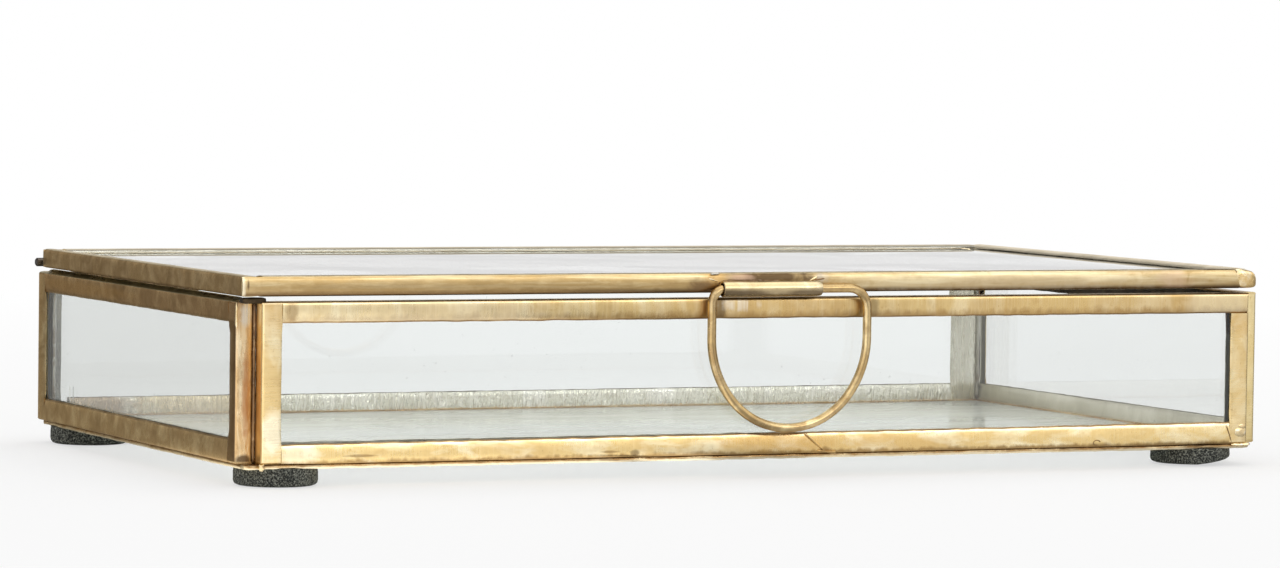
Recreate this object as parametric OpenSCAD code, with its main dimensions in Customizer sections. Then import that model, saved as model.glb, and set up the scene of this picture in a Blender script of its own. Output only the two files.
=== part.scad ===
// Low glass casket box: six glass panes edged with folded brass came strips and
// soldered together, a lid on a wire hinge, a swinging wire handle, four foam feet.
// Millimetres. +X is the box's width, the front faces -Y, +Z is up, and the feet
// stand on z = 0 with the origin under the middle of the whole box.

/* [Case] */
// Outside width of the four walls
case_w = 250; // [160:1:360]
// Outside depth of the four walls
case_d = 138.6; // [90:0.1:240]
// Height of the walls alone
wall_h = 34.7; // [24:0.1:90]

/* [Came strips] */
// Thickness of the folded brass sheet
sheet = 0.5; // [0.3:0.05:0.8]
// Depth of a strip's flanges, from its outer face inwards
came_depth = 4.6; // [3.5:0.1:7]
// Depth of the flanges along the walls' lower edges
base_rail_depth = 5.2; // [3.5:0.1:7]
// The same along the front wall's lower edge, which is trimmed a little narrower
front_base_depth = 4.7; // [3.5:0.1:7]
// Outside radius of a fold
bend_r = 0.5; // [0.3:0.05:0.8]

/* [Glass] */
// Thickness of the wall and lid panes
glass_t = 3; // [2:0.1:4]
// Free space on each face of a pane inside its strip
face_play = 0.2; // [0.05:0.05:0.4]
// Free space at a pane's edges inside its frame
edge_play = 0.4; // [0.2:0.1:1]

/* [Base] */
// Thickness of the bottom pane
base_glass_t = 2; // [1.5:0.1:4]
// How far the bottom pane hangs below the walls
base_drop = 1; // [0.4:0.1:1.6]
// Thickness of the thin angle strip round the bottom pane
edging_t = 0.25; // [0.15:0.05:0.5]
// Width of that strip's lip on top of the pane
edging_lip = 1; // [0.6:0.1:3]
// Leg of the solder seam under the walls
base_seam = 0.8; // [0.3:0.1:1]

/* [Lid] */
// How much narrower the lid is than the case
lid_narrower = 2.6; // [0:0.1:6]
// Depth of the back wall's top that the lid leaves free for the hinge
hinge_ledge = 4.1; // [3.6:0.1:8]
// Space between the walls and the closed lid
lid_gap = 1.1; // [0.5:0.1:3]
// How far the lid's front stands proud of the walls
lid_overhang = 0.1; // [0:0.1:1]
// Sideways place of the lid's middle, off the case's middle
lid_shift = -1.5; // [-3:0.1:3]
// Length of the cap that closes the lid's front right corner
corner_cap = 5.6; // [4.8:0.1:9]
// Rounding of that cap's outer corner
corner_cap_r = 1.8; // [0.6:0.1:3]

/* [Hinge] */
// Diameter of the hinge wire
pin_d = 2; // [1.5:0.1:2.6]
// Radial clearance of the wire in the knuckles
pin_play = 0.05; // [0.02:0.01:0.1]
// Outside diameter of the knuckles
knuckle_od = 3; // [2.8:0.1:3.8]
// Height of the hinge axis above the walls
hinge_rise = 2.3; // [2:0.1:4]
// Space between the lid's back face and the knuckles
hinge_space = 0.35; // [0.3:0.05:1]
// Length of each of the lid's two knuckles
lid_knuckle_l = 30; // [12:1:60]
// Distance from the case's end to a lid knuckle
knuckle_inset = 8; // [4:1:30]
// End play between neighbouring knuckles
knuckle_play = 0.4; // [0.2:0.1:1]
// How far the hinge wire sticks out past each end of the case
pin_overhang = 1.4; // [0:0.1:4]

/* [Handle] */
// Outside diameter of the tube that holds the handle
tube_od = 3.5; // [3:0.1:4.4]
// Bore of that tube
tube_bore = 2.6; // [2.3:0.1:3]
// Length of that tube
tube_l = 24; // [12:0.1:40]
// Height of the tube's axis above the lid's lower edge
tube_rise = 0.9; // [0.6:0.1:2.4]
// Sideways place of the tube's middle, off the lid's middle
tube_shift = -0.6; // [-3:0.1:3]
// Diameter of the handle's wire
wire_d = 2; // [1.5:0.1:2.2]
// Width of the handle, between the middles of its two legs
ring_w = 38; // [34:0.1:60]
// Drop of the handle, from the tube's axis to the lowest wire
ring_drop = 30.8; // [24:0.1:34]
// How much tighter the bow's bottom bend is than a half circle
bow_tighter = 0.5; // [0.2:0.1:2]
// Bend radius at the handle's left shoulder
shoulder_left_r = 3; // [2.4:0.1:4]
// Bend radius at the handle's right shoulder
shoulder_right_r = 4.4; // [2.4:0.1:6]
// How far the handle has slid to the right in its tube
ring_float = 4.7; // [0:0.1:4.8]

/* [Feet] */
// Diameter of the foam feet
foot_d = 18.2; // [10:0.1:24]
// Thickness of the foam feet
foot_h = 4; // [2:0.1:8]
// Rounding of a foot's lower rim
foot_edge_r = 0.8; // [0.2:0.1:1.5]
// Distance from the case's left end to the middle of the front left foot
foot_inset_left = 11.3; // [9.5:0.1:40]
// The same for the back left foot, which sits a little nearer the end
foot_inset_back_left = 9.7; // [9.5:0.1:40]
// Distance from the case's right end to the middle of a foot
foot_inset_right = 13.9; // [9.5:0.1:40]
// Distance from the case's front or back to the middle of a foot
foot_inset_y = 9.6; // [9.5:0.1:40]

/* [Solder] */
// Leg of the solder bead in a corner of the case
bead = 0.8; // [0.5:0.1:2]
// Radius of the solder lump on the front wall's left end, under the closed lid
rest_lump_r = 1.1; // [0.8:0.05:1.5]
// Space between that lump and the closed lid
rest_space = 0.3; // [0.1:0.1:0.4]

/* [Hidden] */
$fn = 48;

// thickness of a came strip, outside
came_t = glass_t + 2 * (sheet + face_play);

// how far the handle's tube stands out in front of the walls
handle_reach = tube_od + lid_overhang;

// left end, right end, front and back faces of the case
left_x = -case_w / 2;
right_x = case_w / 2;
front_y = handle_reach / 2 - case_d / 2;
back_y = front_y + case_d;

// levels, from the ground up
base_z = foot_h;
wall_z = base_z + base_drop;
wall_top = wall_z + wall_h;
lid_z = wall_top + lid_gap;

// outside width and depth of the lid's frame, its corner and its back face
lid_w = case_w - lid_narrower;
lid_d = case_d + lid_overhang - hinge_ledge;
lid_x = lid_shift - lid_w / 2;
lid_front_y = front_y - lid_overhang;
lid_back_y = lid_front_y + lid_d;

// wall of the lid's corner cap round the pane, and the rounding that it allows
cap_end = sheet + max(0, edge_play - face_play);
cap_r = min(corner_cap_r, 2.5 * min(cap_end, sheet + face_play));

// hinge axis
hinge_y = lid_back_y + hinge_space + knuckle_od / 2;
hinge_z = wall_top + hinge_rise;
lid_knuckle_x = case_w / 2 - knuckle_inset - lid_knuckle_l;
case_knuckle_l = 2 * (lid_knuckle_x - knuckle_play);

// handle axis
handle_x = lid_shift + tube_shift;
handle_y = lid_front_y - tube_od / 2;
handle_z = lid_z + tube_rise;
ring_x = handle_x + ring_float;
ring_r = ring_w / 2;

// The bow's flanks bend more gently than its bottom. The two bends' middles lie 3 down
// and 4 across from each other, so each flank turns through the same angle at any size.
bow_turn = acos(4 / 5);
bow_r = ring_r - bow_tighter;
bow_z = bow_r - ring_drop;
flank_r = ring_r + 4 * bow_tighter;
flank_z = bow_z + 3 * bow_tighter;

// width and depth of the room between the walls
room_w = case_w - 2 * came_t;
room_d = case_d - 2 * came_t;

// ---- came strips ----

// Outside of a strip's section: its fold side at x = 0, its thickness along y.
module strip_outline(depth) {
    translate([bend_r, 0])
        square([depth - bend_r, came_t]);
    translate([0, bend_r])
        square([depth, came_t - 2 * bend_r]);
    for (y = [bend_r, came_t - bend_r])
        translate([bend_r, y])
            circle(r = bend_r);
}

// Section of a folded strip: a U, open away from its web.
module strip_section(depth) {
    difference() {
        strip_outline(depth);
        translate([sheet, sheet])
            square([depth, came_t - 2 * sheet]);
    }
}

// Section of the web alone, for a tab that laps over the next strip's end.
module web_section() {
    intersection() {
        strip_outline(came_depth);
        square([sheet, came_t]);
    }
}

// A strip along +X, web at y = 0, whose flanges are cut back at each end.
module strip(length, depth, cut_start, cut_end) {
    color("darkgoldenrod")
    union() {
        translate([cut_start, 0, 0])
            rotate([90, 0, 90])
                linear_extrude(length - cut_start - cut_end)
                    strip_section(depth);
        rotate([90, 0, 90])
            linear_extrude(length)
                web_section();
    }
}

// Rails and stiles of a frame that lies in XY with one corner at the origin. The
// rails' webs lap over the stiles' ends. A stile runs through at a corner unless
// the rail does, and then it is the rail's flanges that reach the frame's end.
module rail_low(w, depth) {
    strip(w, depth, came_depth, came_depth);
}

module rail_high(w, h, cut_end) {
    translate([0, h, 0])
        mirror([0, 1, 0])
            strip(w, came_depth, came_depth, cut_end);
}

module stile_low_x(h, cut_end) {
    translate([0, sheet, 0])
        mirror([1, -1, 0])
            strip(h - 2 * sheet, came_depth, 0, cut_end);
}

module stile_high_x(w, h, cut_end) {
    translate([w, 0, 0])
        mirror([1, 0, 0])
            stile_low_x(h, cut_end);
}

// Pane for such a frame, standing on the lower rail's web.
module pane(w, h, lift) {
    color("lightcyan", 0.4)
    translate([sheet + edge_play, sheet, lift])
        cube([w - 2 * (sheet + edge_play), h - 2 * sheet - edge_play, glass_t]);
}

// ---- placing a flat frame as a wall ----

wall_w = case_w - 2 * came_t;
side_w = case_d - came_t;
wall_lift = sheet + face_play;

module as_front() {
    translate([left_x + came_t, front_y + came_t, wall_z])
        rotate([90, 0, 0])
            children();
}

module as_back() {
    translate([left_x + came_t, back_y, wall_z])
        rotate([90, 0, 0])
            children();
}

module as_left() {
    translate([left_x, front_y + came_t, wall_z])
        rotate([90, 0, 90])
            children();
}

module as_right() {
    translate([right_x - came_t, front_y + came_t, wall_z])
        rotate([90, 0, 90])
            children();
}

// ---- walls ----

module front_glass() { as_front() pane(wall_w, wall_h, wall_lift); }
module front_rail_top() { as_front() rail_high(wall_w, wall_h, sheet); }
module front_rail_bottom() { as_front() rail_low(wall_w, front_base_depth); }
module front_stile_left() { as_front() stile_low_x(wall_h, 0); }
module front_stile_right() { as_front() stile_high_x(wall_w, wall_h, came_depth - sheet); }

module back_glass() { as_back() pane(wall_w, wall_h, wall_lift); }
module back_rail_top() { as_back() rail_high(wall_w, wall_h, came_depth); }
module back_rail_bottom() { as_back() rail_low(wall_w, base_rail_depth); }
module back_stile_left() { as_back() stile_low_x(wall_h, 0); }
module back_stile_right() { as_back() stile_high_x(wall_w, wall_h, 0); }

module left_glass() { as_left() pane(side_w, wall_h, wall_lift); }
module left_rail_top() { as_left() rail_high(side_w, wall_h, came_depth); }
module left_rail_bottom() { as_left() rail_low(side_w, base_rail_depth); }
module left_stile_front() { as_left() stile_low_x(wall_h, 0); }
module left_stile_back() { as_left() stile_high_x(side_w, wall_h, 0); }

module right_glass() { as_right() pane(side_w, wall_h, wall_lift); }
module right_rail_top() { as_right() rail_high(side_w, wall_h, came_depth); }
module right_rail_bottom() { as_right() rail_low(side_w, base_rail_depth); }
module right_stile_front() { as_right() stile_low_x(wall_h, 0); }
module right_stile_back() { as_right() stile_high_x(side_w, wall_h, 0); }

// ---- base ----

// The bottom pane fills the room between the walls, inside its own edging.
module base_glass() {
    color("lightcyan", 0.4)
    translate([left_x + came_t + edging_t, front_y + came_t + edging_t, base_z])
        cube([room_w - 2 * edging_t, room_d - 2 * edging_t, base_glass_t]);
}

// Edging along +X: an upright leg on the pane's edge and a lip over its top.
module edging(length, leg_cut, lip_cut) {
    color("peru") {
        translate([leg_cut, 0, 0])
            cube([length - 2 * leg_cut, edging_t, base_glass_t]);
        translate([lip_cut, 0, base_glass_t])
            cube([length - 2 * lip_cut, edging_lip, edging_t]);
    }
}

module base_edging_front() {
    translate([left_x + came_t, front_y + came_t, base_z])
        edging(room_w, 0, 0);
}

module base_edging_back() {
    translate([left_x + came_t, back_y - came_t, base_z])
        mirror([0, 1, 0])
            edging(room_w, 0, 0);
}

module base_edging_left() {
    translate([left_x + came_t, front_y + came_t, base_z])
        mirror([1, -1, 0])
            edging(room_d, edging_t, edging_lip);
}

module base_edging_right() {
    translate([right_x - came_t, front_y + came_t, base_z])
        mirror([1, 0, 0])
            mirror([1, -1, 0])
                edging(room_d, edging_t, edging_lip);
}

// A seam of solder with a hollow face, its square corner at the origin.
module fillet_section(leg) {
    difference() {
        translate([-leg, -leg])
            square(leg);
        translate([-leg, -leg])
            circle(r = leg * 0.9);
    }
}

// A seam under a wall's lower edge, along +X, against the edging at y = 0.
module base_seam_run(length) {
    rotate([90, 0, 90])
        linear_extrude(length)
            fillet_section(base_seam);
}

module base_solder() {
    color("saddlebrown") {
        translate([left_x + came_t, front_y + came_t, wall_z])
            base_seam_run(room_w);
        translate([left_x + came_t, back_y - came_t, wall_z])
            mirror([0, 1, 0])
                base_seam_run(room_w);
        translate([left_x + came_t, front_y + came_t, wall_z])
            mirror([1, -1, 0])
                base_seam_run(room_d);
        translate([right_x - came_t, front_y + came_t, wall_z])
            mirror([1, 0, 0])
                mirror([1, -1, 0])
                    base_seam_run(room_d);
    }
}

// ---- solder in the corners of the case ----

seat_z = base_z + base_glass_t + edging_t;

// Beads at a front corner: one in the open notch outside, one in the room.
module front_corner_beads() {
    translate([0, 0, wall_z])
        linear_extrude(wall_h)
            fillet_section(bead);
    translate([0, 0, seat_z])
        linear_extrude(wall_top - seat_z)
            rotate(180)
                fillet_section(bead);
}

// At the left, solder also stands up from the front wall's end into the lid's gap.
module corner_solder_front_left() {
    color("gray")
    translate([left_x + came_t, front_y + came_t, 0]) {
        front_corner_beads();
        translate([rest_lump_r / 2, -came_t / 2, wall_top])
            cylinder(r = rest_lump_r, h = lid_gap - rest_space);
    }
}

module corner_solder_front_right() {
    color("gray")
    translate([right_x - came_t, front_y + came_t, 0])
        mirror([1, 0, 0])
            front_corner_beads();
}

// At the back the side walls close the corner, so there is a bead in the room only.
module back_corner_bead() {
    translate([0, 0, seat_z])
        linear_extrude(wall_top - seat_z)
            rotate(90)
                fillet_section(bead);
}

module corner_solder_back_left() {
    color("gray")
    translate([left_x + came_t, back_y - came_t, 0])
        back_corner_bead();
}

module corner_solder_back_right() {
    color("gray")
    translate([right_x - came_t, back_y - came_t, 0])
        mirror([1, 0, 0])
            back_corner_bead();
}

// ---- lid ----

module as_lid() {
    translate([lid_x, lid_front_y, lid_z])
        children();
}

// The pane lies on the lower flanges.
module lid_glass() {
    as_lid()
        pane(lid_w, lid_d, sheet);
}

// The front rail stops short at the right, where the corner cap takes over.
module lid_rail_front() {
    as_lid()
        strip(lid_w - corner_cap, came_depth, came_depth, 0);
}

module lid_rail_back() {
    as_lid()
        rail_high(lid_w, lid_d, came_depth);
}

module lid_rail_left() {
    as_lid()
        stile_low_x(lid_d, 0);
}

module lid_rail_right() {
    as_lid()
        translate([lid_w, came_depth, 0])
            mirror([1, 0, 0])
                mirror([1, -1, 0])
                    strip(lid_d - came_depth - sheet, came_depth, 0, 0);
}

// Cap over the pane's corner, its outer top corner rounded off.
module lid_corner_cap() {
    color("goldenrod")
    as_lid()
        translate([lid_w - corner_cap, came_depth, 0])
            rotate([90, 0, 0])
                difference() {
                    linear_extrude(came_depth)
                        cap_outline();
                    translate([-1, sheet, -1])
                        cube([corner_cap - cap_end + 1, glass_t + face_play, came_depth - sheet + 1]);
                }
}

// Front view of the cap.
module cap_outline() {
    difference() {
        square([corner_cap, came_t]);
        translate([corner_cap - cap_r, came_t - cap_r])
            square(cap_r + 1);
        translate([corner_cap - bend_r, -1])
            square(bend_r + 1);
    }
    translate([corner_cap - cap_r, came_t - cap_r])
        circle(r = cap_r);
    translate([corner_cap - bend_r, bend_r])
        circle(r = bend_r);
}

// ---- hinge ----

// A knuckle along +X from the origin, bored for the hinge wire.
module knuckle(length) {
    color("goldenrod")
    rotate([0, 90, 0])
        difference() {
            cylinder(d = knuckle_od, h = length);
            translate([0, 0, -1])
                cylinder(d = pin_d + 2 * pin_play, h = length + 2);
        }
}

module lid_knuckle_right() {
    translate([lid_knuckle_x, hinge_y, hinge_z])
        knuckle(lid_knuckle_l);
}

module lid_knuckle_left() {
    mirror([1, 0, 0])
        lid_knuckle_right();
}

module case_knuckle() {
    translate([-case_knuckle_l / 2, hinge_y, hinge_z])
        knuckle(case_knuckle_l);
}

// Solder that fills the space from the lid's back face to one of its knuckles.
module lid_knuckle_seam() {
    seam_low = lid_z + bend_r;
    seam_high = hinge_z + knuckle_od * 0.4;
    translate([lid_knuckle_x, 0, 0])
        rotate([90, 0, 90])
            linear_extrude(lid_knuckle_l)
                difference() {
                    translate([lid_back_y, seam_low])
                        square([hinge_space + knuckle_od * 0.3, seam_high - seam_low]);
                    translate([hinge_y, hinge_z])
                        circle(d = knuckle_od);
                }
}

module lid_knuckle_solder() {
    color("gray") {
        lid_knuckle_seam();
        mirror([1, 0, 0])
            lid_knuckle_seam();
    }
}

// Strip soldered on the back wall's top edge, hollowed to cradle the case's knuckle.
module case_knuckle_saddle() {
    saddle_w = knuckle_od * 0.75;
    color("gray")
    translate([-case_knuckle_l / 2, hinge_y, wall_top])
        rotate([90, 0, 90])
            linear_extrude(case_knuckle_l)
                difference() {
                    translate([-saddle_w / 2, 0])
                        square([saddle_w, hinge_rise - knuckle_od * 0.3]);
                    translate([0, hinge_rise])
                        circle(d = knuckle_od);
                }
}

module hinge_pin() {
    pin_l = case_w + 2 * pin_overhang;
    end_chamfer = pin_d * 0.15;
    color("dimgray")
    translate([-pin_l / 2, hinge_y, hinge_z])
        rotate([0, 90, 0]) {
            cylinder(d1 = pin_d - 2 * end_chamfer, d2 = pin_d, h = end_chamfer);
            translate([0, 0, end_chamfer])
                cylinder(d = pin_d, h = pin_l - 2 * end_chamfer);
            translate([0, 0, pin_l - end_chamfer])
                cylinder(d1 = pin_d, d2 = pin_d - 2 * end_chamfer, h = end_chamfer);
        }
}

// ---- handle ----

module handle_tube() {
    color("goldenrod")
    translate([handle_x - tube_l / 2, handle_y, handle_z])
        rotate([0, 90, 0])
            difference() {
                cylinder(d = tube_od, h = tube_l);
                translate([0, 0, -1])
                    cylinder(d = tube_bore, h = tube_l + 2);
            }
}

// Solder between the tube and the lid's front face, above and below the tube's middle.
module handle_tube_solder() {
    seam_low = lid_z + bend_r;
    seam_high = handle_z + tube_od * 0.45;
    color("gray")
    translate([handle_x - tube_l / 2, 0, 0])
        rotate([90, 0, 90])
            linear_extrude(tube_l)
                difference() {
                    translate([lid_front_y - tube_od * 0.25, seam_low])
                        square([tube_od * 0.25, seam_high - seam_low]);
                    translate([handle_y, handle_z])
                        circle(d = tube_od);
                }
}

// A bend of the wire in the XZ plane, centred on the origin.
module wire_bend(r, from, sweep) {
    rotate([90, 0, 0])
        rotate([0, 0, from])
            rotate_extrude(angle = sweep)
                translate([r, 0])
                    circle(d = wire_d);
}

// Left half of the handle below its top bar: shoulder, leg, flank. Mirrored, the right.
module handle_side(shoulder_r) {
    translate([shoulder_r - ring_r, 0, -shoulder_r])
        wire_bend(shoulder_r, 90, 90);
    translate([-ring_r, 0, flank_z])
        cylinder(d = wire_d, h = -shoulder_r - flank_z);
    translate([flank_r - ring_r, 0, flank_z])
        wire_bend(flank_r, 180, bow_turn);
}

module handle_ring() {
    color("goldenrod")
    translate([ring_x, handle_y, handle_z])
        union() {
            translate([shoulder_left_r - ring_r, 0, 0])
                rotate([0, 90, 0])
                    cylinder(d = wire_d, h = ring_w - shoulder_left_r - shoulder_right_r);
            handle_side(shoulder_left_r);
            mirror([1, 0, 0])
                handle_side(shoulder_right_r);
            translate([0, 0, bow_z])
                wire_bend(bow_r, 180 + bow_turn, 180 - 2 * bow_turn);
        }
}

// ---- feet ----

// A foam pad with a rounded lower rim, standing on the origin.
module foot() {
    color([0.25, 0.26, 0.25])
    rotate_extrude()
        union() {
            translate([0, foot_edge_r])
                square([foot_d / 2, foot_h - foot_edge_r]);
            square([foot_d / 2 - foot_edge_r, foot_h]);
            intersection() {
                translate([foot_d / 2 - foot_edge_r, foot_edge_r])
                    circle(r = foot_edge_r);
                square([foot_d / 2, foot_h]);
            }
        }
}

module foot_front_left() {
    translate([left_x + foot_inset_left, front_y + foot_inset_y, 0])
        foot();
}

module foot_front_right() {
    translate([right_x - foot_inset_right, front_y + foot_inset_y, 0])
        foot();
}

module foot_back_left() {
    translate([left_x + foot_inset_back_left, back_y - foot_inset_y, 0])
        foot();
}

module foot_back_right() {
    translate([right_x - foot_inset_right, back_y - foot_inset_y, 0])
        foot();
}

// ---- the part ----

front_glass();
front_rail_top();
front_rail_bottom();
front_stile_left();
front_stile_right();
back_glass();
back_rail_top();
back_rail_bottom();
back_stile_left();
back_stile_right();
left_glass();
left_rail_top();
left_rail_bottom();
left_stile_front();
left_stile_back();
right_glass();
right_rail_top();
right_rail_bottom();
right_stile_front();
right_stile_back();
base_glass();
base_edging_front();
base_edging_back();
base_edging_left();
base_edging_right();
base_solder();
corner_solder_front_left();
corner_solder_front_right();
corner_solder_back_left();
corner_solder_back_right();
lid_glass();
lid_rail_front();
lid_rail_back();
lid_rail_left();
lid_rail_right();
lid_corner_cap();
lid_knuckle_left();
lid_knuckle_right();
lid_knuckle_solder();
case_knuckle();
case_knuckle_saddle();
hinge_pin();
handle_tube();
handle_tube_solder();
handle_ring();
foot_front_left();
foot_front_right();
foot_back_left();
foot_back_right();
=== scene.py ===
import bpy
import bmesh
import math
from mathutils import Matrix, Vector, noise


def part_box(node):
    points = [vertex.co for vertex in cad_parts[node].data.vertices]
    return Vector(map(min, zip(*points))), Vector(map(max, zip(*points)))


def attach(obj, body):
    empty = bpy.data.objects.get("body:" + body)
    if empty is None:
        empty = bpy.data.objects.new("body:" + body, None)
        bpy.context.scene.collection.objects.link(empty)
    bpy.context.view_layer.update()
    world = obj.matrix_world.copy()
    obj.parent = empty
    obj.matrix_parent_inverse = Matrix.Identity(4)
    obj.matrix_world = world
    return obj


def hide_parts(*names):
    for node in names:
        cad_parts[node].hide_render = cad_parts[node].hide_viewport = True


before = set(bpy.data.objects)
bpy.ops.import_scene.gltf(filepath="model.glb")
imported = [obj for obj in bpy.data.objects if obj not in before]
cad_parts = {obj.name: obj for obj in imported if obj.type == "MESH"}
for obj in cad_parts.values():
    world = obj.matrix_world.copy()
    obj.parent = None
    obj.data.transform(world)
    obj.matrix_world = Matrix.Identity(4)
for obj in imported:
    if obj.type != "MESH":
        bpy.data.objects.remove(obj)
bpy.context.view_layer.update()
MM = 0.001
X, Y, Z = 0, 1, 2


def fbox(name):
    lo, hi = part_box(name)
    return Vector(lo), Vector(hi)


def mm(x, y, z):
    return Vector((x, y, z)) * MM


# ---------------------------------------------------------------- places read from the frame
WALL_LO, WALL_HI = fbox("front_rail_bottom")[0], fbox("right_rail_top")[1]
FRONT_Y, BACK_Y = WALL_LO.y, fbox("back_rail_top")[1].y
LEFT_X, RIGHT_X = fbox("left_rail_bottom")[0].x, WALL_HI.x
WALL_Z, WALL_TOP = WALL_LO.z, WALL_HI.z
LID_FRONT = fbox("lid_rail_front")[0].y
TUBE_LO, TUBE_HI = fbox("handle_tube")
AXIS_Y, AXIS_Z = (TUBE_LO.y + TUBE_HI.y) / 2, (TUBE_LO.z + TUBE_HI.z) / 2
# a folded strip's thickness, how far its flanges reach from its outer face, and its sheet
CAME = fbox("front_rail_top")[1].y - FRONT_Y
DEPTH = fbox("left_stile_front")[1].y - fbox("left_stile_front")[0].y
SHEET = 0.5 * MM
# the walls' room sides at the front corners
INSIDE_L, INSIDE_R, INSIDE_Y = LEFT_X + CAME, RIGHT_X - CAME, FRONT_Y + CAME
# slant of the crack between the lid's front rail and its corner cap, in mm
CAP_SKEW = 1.5


# ---------------------------------------------------------------- materials
NOISE = (0.3, 0.7)  # the span that a noise's values mostly fill


class Graph:
    """The shader of a material or of the world, put together node by node."""

    def __init__(self, owner, output="OutputMaterial"):
        self.owner = owner
        owner.use_nodes = True
        self.tree = owner.node_tree
        self.tree.nodes.clear()
        self.out = self.add(output)

    def add(self, kind, inputs=None, **props):
        node = self.tree.nodes.new("ShaderNode" + kind)
        for key, value in props.items():
            setattr(node, key, value)
        for key, value in (inputs or {}).items():
            self.put(node.inputs[key], value)
        return node

    def put(self, socket, value):
        if isinstance(value, bpy.types.NodeSocket):
            self.tree.links.new(value, socket)
        elif isinstance(value, (tuple, list)) and len(value) == 3 and socket.type == "RGBA":
            socket.default_value = (*value, 1)
        else:
            socket.default_value = value

    def place(self, scale=(1, 1, 1), shift=(0, 0, 0)):
        """Where the surface is, in metres, scaled and then shifted."""
        if not hasattr(self, "coord"):
            self.coord = self.add("TexCoord").outputs["Object"]
        mapping = self.add("Mapping", {"Vector": self.coord, "Scale": scale, "Location": shift})
        return mapping.outputs[0]

    def noise(self, scale, detail=3, rough=0.5, shift=(0, 0, 0), warp=0.0):
        vector = self.place(scale if isinstance(scale, tuple) else (scale,) * 3, shift)
        node = self.add("TexNoise", {"Vector": vector, "Scale": 1.0, "Detail": detail,
                                     "Roughness": rough, "Distortion": warp})
        return node.outputs["Fac"]

    def ramp(self, value, lo, hi, a=0.0, b=1.0):
        node = self.add("MapRange", {"Value": value, "From Min": lo, "From Max": hi,
                                     "To Min": a, "To Max": b})
        return node.outputs[0]

    def mix(self, fac, a, b):
        node = self.add("Mix", data_type="RGBA")
        for socket, value in zip((0, 6, 7), (fac, a, b)):  # factor and the two colours
            self.put(node.inputs[socket], value)
        return node.outputs[2]

    def math(self, op, *values):
        return self.add("Math", dict(enumerate(values)), operation=op).outputs[0]

    def stain(self, colour, mask, strength, other):
        """colour, turned into other where the mask is 1, as far as strength says."""
        return self.mix(self.math("MULTIPLY", mask, strength), colour, other)

    def either(self, fac, a, b):
        """Shader a where fac is 0, and b where it is 1."""
        return self.add("MixShader", {0: fac, 1: a.outputs[0], 2: b.outputs[0]})

    def spot(self, centre, radii, breakup):
        """1 inside an ellipsoid round centre, fading to 0 over its ragged edge. In mm."""
        scale = tuple(1000.0 / r for r in radii)
        shift = tuple(-c / r for c, r in zip(centre, radii))
        vector = self.place(scale, shift)
        far = self.add("VectorMath", {0: vector}, operation="LENGTH").outputs["Value"]
        reach = 0.22
        ragged = self.math("ADD", far, self.ramp(breakup, *NOISE, -reach, reach))
        return self.ramp(ragged, 1.15, 0.6)

    def edge(self, axis, at, reach, ragged, breakup):
        """1 at a level on an axis, fading to 0 over reach, its border ragged. In mm."""
        if not hasattr(self, "split"):
            self.split = self.add("SeparateXYZ", {"Vector": self.place()})
        level = self.math("SUBTRACT", self.split.outputs[axis], at * MM)
        level = self.math("ADD", level, self.ramp(breakup, *NOISE, -ragged * MM, ragged * MM))
        return self.ramp(level, 0.0, reach * MM, 1.0, 0.0)

    def bump(self, height, strength, distance, normal=None):
        inputs = {"Height": height, "Strength": strength, "Distance": distance}
        if normal is not None:
            inputs["Normal"] = normal
        return self.add("Bump", inputs).outputs[0]

    def shade(self, **inputs):
        node = self.add("BsdfPrincipled", {k.replace("_", " "): v for k, v in inputs.items()})
        return self.finish(node)

    def finish(self, shader):
        self.tree.links.new(shader.outputs[0], self.out.inputs[0])
        return self.owner


def graph(name):
    return Graph(bpy.data.materials.new(name))


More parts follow.
